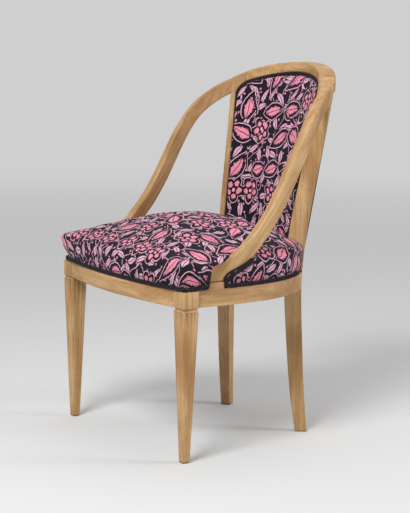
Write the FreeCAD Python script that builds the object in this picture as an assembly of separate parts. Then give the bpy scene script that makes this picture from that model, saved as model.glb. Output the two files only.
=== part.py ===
import FreeCAD, Part
import math
import os
from FreeCAD import Placement, Rotation, Vector

# Gondola chair in beech with a webbed, stuffed seat and a padded barrel back.
# Lengths are millimetres. While the pieces are made, X runs to the sitter's left, Y runs back from
# the line of the front legs, and Z runs up from the floor. At the end the chair is moved along Y,
# so that its origin lies on the floor in the middle of its depth.

# Seat frame
RAIL_BOTTOM = 334.0
SHOW_TOP = 370.0
RAIL_TOP = 385.0
RAIL_THICK = 30.0
REBATE = 9.0
FRONT_BOW_Y = -42.0
FRONT_END_Y = -19.5
SIDE_FRONT = (247.0, 19.5)
SIDE_WIDEST = (251.0, 100.0)
SIDE_TURN_Y = 180.0
TENON_THICK = 12.0
TENON_LOW = 344.0
TENON_HIGH = 374.0
# Front legs
LEG_X = 234.0
LEG_SQUARE = 39.0
FOOT_SQUARE = 17.0
FLUTE_LOW = 286.0
FLUTE_HIGH = 326.0
FLUTE_STEP = 9.5
FLUTE_RADIUS = 3.2
# Rear posts, set diagonally: sizes along the radial direction are measured from the foot's centre
POST_X = 147.2
POST_Y = 374.4
POST_TURN = 36.0
POST_HALF = 16.0
POST_BACK = -5.5
FOOT_HALF = 11.5
SABRE_TOP = 300.0
STILE_LOW = 440.0
STILE_HIGH = 797.0
STILE_FRONT = (-38.5, 24.0)
STILE_BACK = (1.5, 59.0)
STILE_OUTER = (-16.0, -9.4)
STILE_INNER = (16.0, 28.2)
# Crest rail and lower back rail
TOTAL_HEIGHT = 830.0
CREST_FRONT_Y = 460.0
CREST_END = (137.5, 408.2)
CREST_THICK = 33.0
CREST_FLARE = 6.0
CREST_DEEP = 48.0
CREST_DROP = 26.0
CREST_SHOW = 22.0
HEAD_TOP = (788.0, 804.0)
LOWER_RAIL = (398.0, 436.0)
LOWER_RAIL_THICK = 24.0
# Arms: centre line from the stile head to the side rail, and the section along it
ARM_LINE = [(160, 412, 776), (178, 399, 770), (196, 378, 756), (222, 332, 718), (236, 295, 665),
            (239.5, 258, 597), (240, 221, 531), (239.5, 175, 471), (237.5, 132, 431)]
ARM_WIDE = (25.0, 21.5)
ARM_DEEP = (33.0, 30.0)
ARM_STEPS = 11
ARM_SEAT = (46.0, 84.0)
ARM_FOOT_X = 237.5
ARM_FOOT = [((100, 433), (112, 408)), ((78, 427), (97, 402)), ((60, 423), (90, 396.5)),
            ((48.5, 418), (86, 391)), ((46, 402), (84.5, 387.5)), ((46, 385), (84, 385))]
# Seat upholstery: outline, and its share of that outline level by level up to the crown
SEAT_MIDDLE_Y = 170.0
SEAT_OUTLINE = [((-243, -18), (0, -41), (243, -18)), ((243, -18), (248.5, -14), (251, -6)),
                ((251, -6), (251.5, 95), (246, 180)), ((246, 180), (216, 285), (156, 360)),
                ((156, 360), (0, 404), (-156, 360))]
SEAT_CHORDS = (6, 2, 3, 3, 4)
SEAT_PROFILE = [(370, 0.986), (381, 0.988), (394, 1.014), (422, 1.016), (432, 0.98), (447, 0.83),
                (464, 0.64), (481, 0.41), (496, 0.06)]
COVER_THICK = 2.0
COVER_SHARE = 0.008
HESSIAN_THICK = 1.5
WEBBING_WIDE = 50.0
WEBBING_THICK = 1.6
GIMP_WIDE = 10.0
GIMP_THICK = 2.5
GIMP_SHARE = (0.988, 0.998)
DUST_COVER_THICK = 1.5
# Back upholstery: each face of the back is hollow, with these middles and radii at STILE_LOW and STILE_HIGH
INSIDE_BACK = ((388.0, 460.0), (196.0, 225.0))
OUTSIDE_BACK = ((428.9, 490.0), (232.4, 274.6))
BACK_SWEEP = 56
BACK_STEP = 7
BORDER = 13.0
CORNER_RADIUS = 18.0
BACK_LOW = 392.0
OUTSIDE_LOW = 386.0
BACK_CROWN = (10.0, 24.0)
CROWN_RADIUS = 260.0
CROWN_LEVELS = (380, 425, 480, 540, 600, 655, 715, 770, 815)
FLANGE_THICK = 1.5
BACK_GIMP_LOW = 432.0
# Webbing of the seat: places across and along, and the ends of the lengthwise strips
WEBBING_Y = (110.0, 190.0, 270.0)
WEBBING_X = (-75.0, 0.0, 75.0)
WEBBING_FRONT = (-28.0, -6.0, 14.0)
WEBBING_REAR = {-75.0: (335.0, 355.0, 392.0), 0.0: (363.0, 383.0, 412.0), 75.0: (335.0, 355.0, 392.0)}
WEBBING_SHARE = 0.935
DUST_COVER_SHARE = 0.95
# Corner blocks, screws and dowels
BLOCK_LOW = 345.0
BLOCK_HIGH = 375.0
FRONT_BLOCK = [(150, -20), (225, -20), (225, 90)]
REAR_BLOCK = [(172, 262), (193, 285), (140, 350), (88, 388), (66, 366)]
SCREW_RADIUS = 2.0
SCREW_HEAD = 4.0
SCREW_HEAD_DEEP = 3.0
POCKET_LONG = 40.0
SCREW_LONG = 42.0
DOWEL_RADIUS = 4.5
DOWEL_HALF = 16.0
PEG_SIDES = 7


def line(a, b):
    return Part.LineSegment(Vector(*a), Vector(*b)).toShape()


def arc(a, b, c):
    return Part.Arc(Vector(*a), Vector(*b), Vector(*c)).toShape()


def spline(points):
    curve = Part.BSplineCurve()
    curve.interpolate([Vector(*p) for p in points])
    return curve.toShape()


def wire(edges):
    return Part.Wire(Part.__sortEdges__(edges))


def polygon(points):
    return Part.makePolygon([Vector(*p) for p in points] + [Vector(*points[0])])


def prism(points, direction):
    return Part.Face(polygon(points)).extrude(Vector(*direction))


def raised(edges, height):
    return Part.Face(wire(edges)).extrude(Vector(0, 0, height))


def box(low, high):
    return Part.makeBox(*[b - a for a, b in zip(low, high)], Vector(*low))


def both(shape):
    return [shape, shape.mirror(Vector(0, 0, 0), Vector(1, 0, 0))]


def one_solid(shape):
    return max(shape.Solids, key=lambda solid: solid.Volume)


# Axes of the left rear post: radial (out of the back), tangential (to the middle) and up
TURN = math.radians(POST_TURN)
POST_PLACE = Placement(Vector(POST_X, POST_Y, 0), Rotation(Vector(0, 0, 1), 90 - POST_TURN))
POST_SIDE = Vector(math.cos(TURN), -math.sin(TURN), 0)
# Upright axis of the barrel back, where the planes of both posts' inner faces meet
AXIS_Y = POST_Y + POST_HALF * math.sin(TURN) - (POST_X - POST_HALF * math.cos(TURN)) / math.tan(TURN)
POST_RADIUS = (POST_X - POST_HALF * math.cos(TURN)) / math.sin(TURN)


def at_post(radial, inward, z):
    return POST_PLACE.multVec(Vector(radial, inward, z))


def on_post(low, high):
    block = box(low, high)
    block.Placement = POST_PLACE
    return block


def along_stile(ends, z):
    return ends[0] + (ends[1] - ends[0]) * (z - STILE_LOW) / (STILE_HIGH - STILE_LOW)


def ring_sector(centre_y, inner, outer, half_angle, low, high):
    a = math.radians(half_angle)

    def at(radius, turn):
        return (radius * math.sin(turn), centre_y + radius * math.cos(turn), low)

    edges = [arc(at(inner, -a), at(inner, 0), at(inner, a)), arc(at(outer, -a), at(outer, 0), at(outer, a))]
    edges += [line(at(inner, -a), at(outer, -a)), line(at(inner, a), at(outer, a))]
    return raised(edges, high - low)


# Front leg: square block with two rebates, necked and chamfered below it, then a taper to the foot.
# Three short flutes start under the neck on each face.
def frustum(low, low_half, high, high_half):
    wedge = Part.makeWedge(-low_half, 0, -low_half, -high_half, -high_half,
                           low_half, high - low, low_half, high_half, high_half)
    wedge.rotate(Vector(0, 0, 0), Vector(1, 0, 0), 90)
    wedge.translate(Vector(LEG_X, 0, low))
    return wedge


def flute_cutter(place, half):
    corners = [(place - 6, -half - 6, FLUTE_LOW), (place + 6, -half - 6, FLUTE_LOW)]
    for turn in (90, 60, 30, 0, -30, -60, -90):
        a = math.radians(turn)
        x = place + FLUTE_RADIUS * math.sin(a)
        y = -half - 1.2 + FLUTE_RADIUS * math.cos(a)
        corners.append((x, y, FLUTE_LOW))
    return prism(corners, (0, 0, FLUTE_HIGH - FLUTE_LOW))


def front_leg():
    half = LEG_SQUARE / 2
    foot = FOOT_SQUARE / 2
    neck = half - 2.5
    leg = frustum(3, foot, FLUTE_HIGH, half - 0.3)
    leg = leg.fuse(frustum(0, foot - 2, 3, foot)).fuse(frustum(FLUTE_HIGH, half - 0.3, 330, neck))
    leg = leg.fuse(box((LEG_X - neck, -neck, 330), (LEG_X + neck, neck, RAIL_BOTTOM)))
    leg = leg.fuse(box((LEG_X - half, -half, RAIL_BOTTOM), (LEG_X + half, half, SHOW_TOP)))
    leg = leg.fuse(box((LEG_X - half, REBATE - half, SHOW_TOP), (LEG_X + half - REBATE, half, RAIL_TOP)))
    for turn in range(4):
        for place in (-FLUTE_STEP, 0, FLUTE_STEP):
            flute = flute_cutter(place, half)
            flute.rotate(Vector(0, 0, 0), Vector(0, 0, 1), 90 * turn)
            flute.translate(Vector(LEG_X, 0, 0))
            leg = leg.cut(flute)
    return leg.removeSplitter()


# Rear post: sabre leg and raked stile sawn from one board, tapered in its width
def rear_post():
    top = 822
    front = [(-13, 0), (-27, 95), (-39, 235), (-44, 360), (STILE_FRONT[0], STILE_LOW), (-7, 620)]
    back = [(13.8, 0), (6, 85), (-2, 230), (POST_BACK, 345), (STILE_BACK[0], STILE_LOW), (30, 620)]
    front += [(STILE_FRONT[1], STILE_HIGH), (along_stile(STILE_FRONT, top), top)]
    back += [(STILE_BACK[1], STILE_HIGH), (along_stile(STILE_BACK, top), top)]
    edges = [spline([(r, -60, z) for r, z in front]), spline([(r, -60, z) for r, z in back])]
    for end in (0, -1):
        edges.append(line((front[end][0], -60, front[end][1]), (back[end][0], -60, back[end][1])))
    sabre = Part.Face(wire(edges)).extrude(Vector(0, 120, 0))
    low, high = HEAD_TOP
    outer, inner = STILE_OUTER[0], STILE_INNER[0]
    sides = [(-FOOT_HALF, 0), (outer, SABRE_TOP), (outer, STILE_LOW), (along_stile(STILE_OUTER, low), low)]
    sides += [(along_stile(STILE_INNER, high), high), (inner, STILE_LOW), (inner, SABRE_TOP), (FOOT_HALF, 0)]
    post = sabre.common(prism([(-100, y, z) for y, z in sides], (220, 0, 0)))
    post.Placement = POST_PLACE
    return post


# Front rail: bowed board with a rebate for the fabric, and a tenon at each end
def front_rail():
    end = LEG_X - LEG_SQUARE / 2

    def bowed(outer, low, high):
        edges = []
        for inset in (outer, RAIL_THICK):
            y = FRONT_END_Y + inset
            edges.append(arc((-end, y, low), (0, FRONT_BOW_Y + inset, low), (end, y, low)))
        for x in (-end, end):
            edges.append(line((x, FRONT_END_Y + outer, low), (x, FRONT_END_Y + RAIL_THICK, low)))
        return raised(edges, high - low)

    rail = bowed(0, RAIL_BOTTOM, SHOW_TOP).fuse(bowed(REBATE, SHOW_TOP, RAIL_TOP))
    tenons = box((-LEG_X, -8, TENON_LOW), (LEG_X, TENON_THICK - 8, TENON_HIGH))
    return rail.fuse(tenons.cut(box((-end, -50, 300), (end, 50, 400)))).removeSplitter()


# Side rail: bowed in plan by two tangent arcs, with an unrebated seat for the arm and a tenon at each end
def side_arcs():
    # Centre and radius of the gentle front arc and of the tighter rear arc, and the point where they meet
    run = SIDE_WIDEST[1] - SIDE_FRONT[1]
    bow = SIDE_WIDEST[0] - SIDE_FRONT[0]
    radius = (run ** 2 + bow ** 2) / (2 * bow)
    centre = Vector(SIDE_WIDEST[0] - radius, SIDE_WIDEST[1], 0)
    turn_x = centre.x + math.sqrt(radius ** 2 - (SIDE_TURN_Y - centre.y) ** 2)
    meet = Vector(turn_x, SIDE_TURN_Y, 0)
    inward = (centre - meet).normalize()
    reach = at_post(POST_BACK, -POST_HALF, 0) - meet
    rear_radius = reach.Length ** 2 / (2 * reach.dot(inward))
    return (centre, radius), (meet + inward * rear_radius, rear_radius), meet


def side_strip(outer, inner, low, high):
    # Board between two offsets from the outer face, run on past its ends
    (front_centre, front_radius), (rear_centre, rear_radius), meet = side_arcs()
    turn = (meet - rear_centre).normalize()
    start = (Vector(SIDE_FRONT[0], LEG_SQUARE / 2, 0) - front_centre).normalize()
    middle = (start + turn).normalize()
    last = Vector(math.cos(math.radians(60)), math.sin(math.radians(60)), 0)
    between = (turn + last).normalize()
    edges = []
    ends = []
    for inset in (outer, inner):
        points = [front_centre + way * (front_radius - inset) for way in (start, middle, turn)]
        edges.append(arc(*[(p.x, p.y, low) for p in points]))
        more = [rear_centre + way * (rear_radius - inset) for way in (turn, between, last)]
        edges.append(arc(*[(p.x, p.y, low) for p in more]))
        ends.append((points[0], more[-1]))
    for end in (0, 1):
        edges.append(line((ends[0][end].x, ends[0][end].y, low), (ends[1][end].x, ends[1][end].y, low)))
    beyond = on_post((-200, -POST_HALF, 0), (200, 200, 900))
    legward = box((0, -100, 0), (400, LEG_SQUARE / 2, 900))
    return raised(edges, high - low).cut([beyond, legward])


def side_rail():
    rail = side_strip(0, RAIL_THICK, RAIL_BOTTOM, SHOW_TOP)
    rail = rail.fuse(side_strip(REBATE, RAIL_THICK, SHOW_TOP, RAIL_TOP))
    seat = box((150, ARM_SEAT[0], SHOW_TOP), (300, ARM_SEAT[1], RAIL_TOP))
    rail = rail.fuse(side_strip(0, RAIL_THICK, SHOW_TOP, RAIL_TOP).common(seat))
    rail = rail.fuse(box((224, 5, TENON_LOW), (224 + TENON_THICK, LEG_SQUARE / 2, TENON_HIGH)))
    rail = rail.fuse(on_post((-30, -POST_HALF, TENON_LOW), (TENON_THICK - 30, 2, TENON_HIGH)))
    return rail.removeSplitter()


# Rear rail and lower back rail: curved boards tenoned between the posts
def rear_rail():
    outer = POST_RADIUS + POST_BACK
    rail = ring_sector(AXIS_Y, outer - RAIL_THICK, outer, POST_TURN, RAIL_BOTTOM, RAIL_TOP)
    for tenon in both(on_post((-30, 4, TENON_LOW), (TENON_THICK - 30, POST_HALF + 2, TENON_HIGH))):
        rail = rail.fuse(tenon)
    return rail.removeSplitter()


def lower_back_rail():
    low, high = LOWER_RAIL
    outer = POST_RADIUS - 17
    rail = ring_sector(AXIS_Y, outer - LOWER_RAIL_THICK, outer, POST_TURN, low, high)
    for tenon in both(on_post((-36, 3, low + 6), (TENON_THICK - 36, POST_HALF + 2, high - 6))):
        rail = rail.fuse(tenon)
    return rail.removeSplitter()


# Crest rail: curved in plan and arched, let in between the stile heads
CREST_SAG = CREST_FRONT_Y - CREST_END[1]
CREST_INNER = (CREST_END[0] ** 2 + CREST_SAG ** 2) / (2 * CREST_SAG)
CREST_AXIS_Y = CREST_FRONT_Y - CREST_INNER
CREST_ANGLE = math.degrees(math.asin(CREST_END[0] / CREST_INNER))


def crest_rail():
    # Arched board, thicker towards its ends, cut to the inner faces of the stile heads
    sections = []
    for degrees in (-50, -25, 0, 25, 50):
        turn = math.radians(degrees)
        share = (degrees / CREST_ANGLE) ** 2
        top = TOTAL_HEIGHT - CREST_DROP * share
        low = top - CREST_DEEP
        front, back = CREST_INNER, CREST_INNER + CREST_THICK + CREST_FLARE * share
        corners = []
        for radius, z in ((front, low), (back, low), (back, top), (front, top)):
            corners.append((radius * math.sin(turn), CREST_AXIS_Y + radius * math.cos(turn), z))
        sections.append(polygon(corners))
    crest = Part.makeLoft(sections, True, False)
    low, high = 700, TOTAL_HEIGHT + 20
    beyond = [(-300, low), (-300, high)]
    beyond += [(along_stile(STILE_INNER, z), z) for z in (high, low)]
    end = prism([(-200, y, z) for y, z in beyond], (500, 0, 0))
    end.Placement = POST_PLACE
    for side in both(end):
        crest = crest.cut(side)
    return one_solid(crest)


# Arm: rectangular section carried along its line, which swells into a foot on the side rail
def arm(post, rail):
    curve = Part.BSplineCurve()
    curve.interpolate([Vector(*p) for p in ARM_LINE])
    sections = []
    for step in range(ARM_STEPS + 1):
        share = step / ARM_STEPS
        u = curve.FirstParameter + share * (curve.LastParameter - curve.FirstParameter)
        along = curve.tangent(u)[0]
        flat = Vector(along.y, -along.x, 0).normalize()
        fade = min(1, 3 * share)
        wide = ARM_WIDE[0] + (ARM_WIDE[1] - ARM_WIDE[0]) * fade
        deep = ARM_DEEP[0] + (ARM_DEEP[1] - ARM_DEEP[0]) * fade
        sections.append(rectangle(curve.value(u), flat * wide, along.cross(flat) * deep))
    for upper, lower in ARM_FOOT:
        edge = [Vector(ARM_FOOT_X, *place) for place in (upper, lower)]
        sections.append(rectangle((edge[0] + edge[1]) / 2, Vector(-ARM_WIDE[1], 0, 0), edge[1] - edge[0]))
    blank = skinned(sections)
    return one_solid(blank.cut(post).cut(rail))


def outside_foot():
    # Space outside the foot of the arm and above its seat, where no fabric lies
    upper = [(150, 460)] + [pair[0] for pair in ARM_FOOT[:-1]]
    lower = [pair[1] for pair in ARM_FOOT[::-1]] + [(168, 440)]
    outline = upper + [(ARM_SEAT[0], SHOW_TOP - 10), (ARM_SEAT[1], SHOW_TOP - 10)] + lower
    return prism([(ARM_FOOT_X, y, z) for y, z in outline], (60, 0, 0))


def rectangle(centre, wide, deep):
    corners = [(-0.5, -0.5), (0.5, -0.5), (0.5, 0.5), (-0.5, 0.5)]
    return [centre + wide * a + deep * b for a, b in corners]


def skinned(sections):
    # Solid with one smooth long edge through each corner of the sections, and ruled sides between them
    edges = []
    middles = [(section[0] + section[2]) / 2 for section in sections]
    spread = [0]
    for here, there in zip(middles, middles[1:]):
        spread.append(spread[-1] + here.distanceToPoint(there))
    for corner in range(4):
        curve = Part.BSplineCurve()
        curve.interpolate(Points=[section[corner] for section in sections], Parameters=spread)
        edges.append(curve.toShape())
    faces = [Part.makeRuledSurface(edges[k], edges[(k + 1) % 4]) for k in range(4)]
    for end in (sections[0], sections[-1]):
        faces.append(Part.Face(Part.makePolygon(end + [end[0]])))
    shell = Part.Shell(faces)
    shell.sewShape()
    solid = Part.Solid(shell)
    solid.fix(0.01, 0.01, 0.01)
    return solid


# Shapes shared by the soft pieces
def faceted(rings):
    # Solid through level rings of points whose sides run parallel, so that every facet is flat
    faces = [Part.Face(Part.makePolygon(end + [end[0]])) for end in (rings[0], rings[-1])]
    for low, high in zip(rings, rings[1:]):
        for k in range(len(low)):
            faces.append(Part.Face(Part.makePolygon([low[k - 1], low[k], high[k], high[k - 1], low[k - 1]])))
    shell = Part.Shell(faces)
    shell.sewShape()
    solid = Part.Solid(shell)
    if solid.Volume < 0:
        solid.reverse()
    return solid


def common(shape, *others):
    for other in others:
        shape = shape.common(other)
    return shape


# Back upholstery, from the frame forward: webbing, hessian, stuffing, cover and gimp
def within_back(surface, offset):
    # Everything in front of a face of the back, moved out by an offset
    middles, radii = surface
    rings = []
    for z in (RAIL_BOTTOM, TOTAL_HEIGHT + 10):
        centre_y = along_stile(middles, z) - along_stile(radii, z)
        radius = along_stile(radii, z) + offset
        ring = []
        for turn in range(-BACK_SWEEP, BACK_SWEEP + 1, BACK_STEP):
            a = math.radians(turn)
            ring.append(Vector(radius * math.sin(a), centre_y + radius * math.cos(a), z))
        rings.append(ring)
    return faceted(rings)


def back_layer(surface, near, far):
    return within_back(surface, near).cut(within_back(surface, far))


def behind_crown(sunk):
    # Everything behind the crowned front of the back pad, sunk below the surface of its cover
    edge, crown = BACK_CROWN
    middle = (CROWN_LEVELS[0] + CROWN_LEVELS[-1]) / 2
    reach = CROWN_LEVELS[-1] - middle
    rings = []
    for z in CROWN_LEVELS:
        ahead = edge + (crown - edge) * (1 - ((z - middle) / reach) ** 2)
        centre_y = along_stile(INSIDE_BACK[0], z) - ahead - CROWN_RADIUS
        ring = []
        for turn in range(-42, 43, BACK_STEP):
            a = math.radians(turn)
            radius = CROWN_RADIUS + sunk
            ring.append(Vector(radius * math.sin(a), centre_y + radius * math.cos(a), z))
        rings.append(ring + [Vector(ring[-1].x, 560, z), Vector(ring[0].x, 560, z)])
    return faceted(rings)


def back_outline(inset, low, surface):
    # Everything within the outline of the padded panel, seen from the front
    radials = STILE_FRONT if surface == INSIDE_BACK else STILE_BACK
    deep = 400

    def side(z):
        return at_post(along_stile(radials, z), along_stile(STILE_OUTER, z) + BORDER, z).x - inset

    def top(x):
        turn = math.degrees(math.asin(x / CREST_INNER))
        return TOTAL_HEIGHT - CREST_SHOW - inset - CREST_DROP * (turn / CREST_ANGLE) ** 2

    y = AXIS_Y + 50
    corner = top(side(top(side(STILE_HIGH))))
    edges = [arc((-side(corner), y, corner), (0, y, top(0)), (side(corner), y, corner))]
    edges.append(line((-side(low), y, low), (side(low), y, low)))
    for sign in (-1, 1):
        edges.append(line((sign * side(low), y, low), (sign * side(corner), y, corner)))
    board = Part.Face(wire(edges)).extrude(Vector(0, deep, 0))
    corners = []
    for edge in board.Edges:
        lengthwise = abs(edge.BoundBox.YLength - deep) < 1
        if lengthwise and edge.BoundBox.ZMin > low + 50:
            corners.append(edge)
    return board.makeFillet(CORNER_RADIUS - inset / 2, corners)


# Seat upholstery: crowned cover and stuffing over the webbing
def seat_ring(share, z):
    # Chords of the seat's outline, drawn in to a share of it about the middle of the seat
    ring = []
    left = list(zip(SEAT_OUTLINE, SEAT_CHORDS))
    for side, arcs in ((1, left), (-1, left[3:0:-1])):
        for points, chords in arcs:
            placed = []
            for x, y in points[::side]:
                placed.append(Vector(side * x * share, SEAT_MIDDLE_Y + (y - SEAT_MIDDLE_Y) * share, z))
            curve = Part.Arc(*placed)
            span = curve.LastParameter - curve.FirstParameter
            for step in range(chords):
                ring.append(curve.value(curve.FirstParameter + span * step / chords))
    return ring


def seat_slab(share, low, high):
    return faceted([seat_ring(share, low), seat_ring(share, high)])


def seat_crown(sunk, thinner):
    rings = []
    for z, share in SEAT_PROFILE:
        drop = sunk if share < 1 and z > SHOW_TOP + 20 else 0
        rings.append(seat_ring(share - thinner, z - drop))
    return faceted(rings)


def webbing_lengthwise(x):
    # Strip that lies on the front and rear rails and passes over the crosswise strips between them
    end, flat, over = WEBBING_FRONT
    down, rest, last = WEBBING_REAR[x]
    low, high = RAIL_TOP, RAIL_TOP + WEBBING_THICK
    run = [(end, low), (flat, low), (over, high), (down, high), (rest, low), (last, low)]
    back = [(y, z + WEBBING_THICK) for y, z in reversed(run)]
    return prism([(x - WEBBING_WIDE / 2, y, z) for y, z in run + back], (WEBBING_WIDE, 0, 0))


# Fixings: faceted pegs and screws
def peg(radius, length, start, along):
    side = along.cross(Vector(0, 0, 1) if abs(along.z) < 0.9 else Vector(1, 0, 0)).normalize()
    up = along.cross(side)
    corners = []
    for k in range(PEG_SIDES):
        a = 2 * math.pi * k / PEG_SIDES
        corners.append(start + side * (radius * math.cos(a)) + up * (radius * math.sin(a)))
    return Part.Face(Part.makePolygon(corners + [corners[0]])).extrude(along * length)


def screw(head, towards):
    along = Vector(*towards).normalize()
    shank = peg(SCREW_RADIUS, SCREW_LONG, Vector(*head), along)
    return shank.fuse(peg(SCREW_HEAD, SCREW_HEAD_DEEP, Vector(*head), along))


def screw_pocket(head, towards):
    along = Vector(*towards).normalize()
    return peg(SCREW_HEAD, POCKET_LONG, Vector(*head) - along * (POCKET_LONG - SCREW_HEAD_DEEP), along)


def dowel(centre, along):
    return peg(DOWEL_RADIUS, 2 * DOWEL_HALF, centre - along * DOWEL_HALF, along)


def arm_dowels():
    root = [Vector(*p) for p in ARM_LINE[:2]]
    along = (root[1] - root[0]).normalize()
    across = along.cross(Vector(along.y, -along.x, 0)).normalize()
    pegs = [dowel(root[1] + across * step, along) for step in (-8, 8)]
    for y in (ARM_SEAT[0] + 11, ARM_SEAT[1] - 11):
        pegs.append(dowel(Vector(ARM_FOOT_X, y, RAIL_TOP), Vector(0, 0, 1)))
    return pegs


def crest_dowels():
    pegs = []
    for z in (766, 784):
        pegs.append(dowel(at_post(38, along_stile(STILE_INNER, z), z), POST_SIDE))
    return pegs


# Joinery: the tenoned rails first, then the posts and legs mortised to take them
rails = both(side_rail())
front = front_rail()
rear = rear_rail()
lower = lower_back_rail()
crest = crest_rail()
blank_posts = both(rear_post())
arms = both(arm(blank_posts[0], rails[0]))
posts = [post.cut([rail, rear, lower]) for post, rail in zip(blank_posts, rails)]
legs = [leg.cut([rail, front]) for leg, rail in zip(both(front_leg()), rails)]

# Rebates that take the upholstery of the back
panel = back_outline(0, BACK_LOW, INSIDE_BACK)
inside = within_back(INSIDE_BACK, 0)
front_rebate = common(inside, panel)
outside_panel = back_outline(0, OUTSIDE_LOW, OUTSIDE_BACK)
rear_rebate = outside_panel.cut(within_back(OUTSIDE_BACK, -COVER_THICK))
posts = [one_solid(post.cut([front_rebate, rear_rebate])) for post in posts]
crest = one_solid(crest.cut([front_rebate, rear_rebate]))
lower = one_solid(lower.cut(front_rebate))

# Dowels of the arms and the crest, bored into both pieces
arm_pegs = [both(peg) for peg in arm_dowels()]
crest_pegs = [both(peg) for peg in crest_dowels()]
for k in range(2):
    mine = [pair[k] for pair in arm_pegs]
    arms[k] = arms[k].cut(mine)
    rails[k] = rails[k].cut(mine[2:])
    posts[k] = posts[k].cut(mine[:2] + [pair[k] for pair in crest_pegs])
crest = crest.cut([peg for pair in crest_pegs for peg in pair])

# Corner blocks, each held by two screws
level = (BLOCK_LOW + BLOCK_HIGH) / 2
frame = posts + legs + rails + [front, rear]
front_screws = [((185, 31, level), (0, -1, 0)), ((194, 45, level), (1, 0, 0))]
rear_screws = [((149, 285, level), (0.7, 0.714, 0)), ((95, 337.5, level), (0.55, 0.835, 0))]
blocks = {}
screws = []
for end, outline, fixings in (("front", FRONT_BLOCK, front_screws), ("rear", REAR_BLOCK, rear_screws)):
    blank = prism([(x, y, BLOCK_LOW) for x, y in outline], (0, 0, BLOCK_HIGH - BLOCK_LOW))
    fixed = [screw(*fixing) for fixing in fixings]
    block = one_solid(blank.cut(frame + fixed + [screw_pocket(*fixing) for fixing in fixings]))
    blocks[end + "_left"], blocks[end + "_right"] = both(block)
    for fixing in fixed:
        screws += both(fixing)
rails = [one_solid(rail.cut(screws)) for rail in rails]
front = one_solid(front.cut(screws))
rear = one_solid(rear.cut(screws))

# Back upholstery
pad_edge = back_outline(GIMP_WIDE, BACK_LOW, INSIDE_BACK)
pad_core = back_outline(GIMP_WIDE + COVER_THICK, BACK_LOW + COVER_THICK, INSIDE_BACK)
flange = common(back_layer(INSIDE_BACK, 0, -FLANGE_THICK), panel)
pad = common(behind_crown(0), inside, pad_edge).fuse(flange)
filling = common(behind_crown(COVER_THICK), inside, pad_core)
back_cover = one_solid(pad.cut(filling))
webbed = back_layer(INSIDE_BACK, 0, -WEBBING_THICK)
back_webbing = []
for x in WEBBING_X:
    strip = box((x - WEBBING_WIDE / 2, AXIS_Y, LOWER_RAIL[0] + 4), (x + WEBBING_WIDE / 2, 600, TOTAL_HEIGHT))
    back_webbing.append(one_solid(common(webbed, strip, filling)))
hessian_front = -WEBBING_THICK - HESSIAN_THICK
back_hessian = one_solid(common(back_layer(INSIDE_BACK, -WEBBING_THICK, hessian_front), filling))
back_stuffing = one_solid(common(filling, within_back(INSIDE_BACK, hessian_front)))
gimp_layer = back_layer(INSIDE_BACK, -FLANGE_THICK, -FLANGE_THICK - GIMP_THICK)
back_gimp = common(gimp_layer, back_outline(0, BACK_GIMP_LOW, INSIDE_BACK)).cut(pad_edge)
outside_back_cover = one_solid(common(back_layer(OUTSIDE_BACK, 0, -COVER_THICK), outside_panel))
outside_ring = outside_panel.cut(back_outline(GIMP_WIDE, OUTSIDE_LOW + GIMP_WIDE, OUTSIDE_BACK))
outside_back_gimp = common(back_layer(OUTSIDE_BACK, GIMP_THICK, 0), outside_ring)

# Seat upholstery
seat_frame = frame + arms + [lower, pad]
crosswise = seat_slab(WEBBING_SHARE, RAIL_TOP, RAIL_TOP + WEBBING_THICK)
seat_webbing_crosswise = []
for y in WEBBING_Y:
    strip = box((-300, y - WEBBING_WIDE / 2, RAIL_TOP), (300, y + WEBBING_WIDE / 2, RAIL_TOP + WEBBING_THICK))
    seat_webbing_crosswise.append(crosswise.common(strip))
hessian_low = RAIL_TOP + 2 * WEBBING_THICK
stuffing_low = hessian_low + HESSIAN_THICK
seat_hessian = one_solid(seat_slab(WEBBING_SHARE, hessian_low, stuffing_low).cut(seat_frame))
seat_outer = seat_crown(0, 0)
seat_inner = seat_crown(COVER_THICK, COVER_SHARE)
seat_cover = one_solid(seat_outer.cut([seat_inner] + seat_frame + both(outside_foot())))
under_stuffing = box((-400, -400, 0), (400, 600, stuffing_low))
arm_notches = both(box((220, ARM_SEAT[0] - 6, 0), (300, 178, 500)))
seat_stuffing = one_solid(seat_inner.cut([under_stuffing, lower, pad] + arm_notches + frame))
gimp_band = seat_slab(GIMP_SHARE[1], SHOW_TOP, SHOW_TOP + GIMP_WIDE)
arm_seats = both(box((200, ARM_SEAT[0], 0), (300, ARM_SEAT[1], 500)))
gimp_runs = gimp_band.cut([seat_slab(GIMP_SHARE[0], 0, 500), seat_outer, lower] + arm_seats + frame)
seat_gimp = Part.makeCompound([run for run in gimp_runs.Solids if run.Volume > 500])
back_gimp = one_solid(back_gimp.cut(seat_outer))
dust_cover = seat_slab(DUST_COVER_SHARE, RAIL_BOTTOM - DUST_COVER_THICK, RAIL_BOTTOM).cut(legs + posts)

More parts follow.
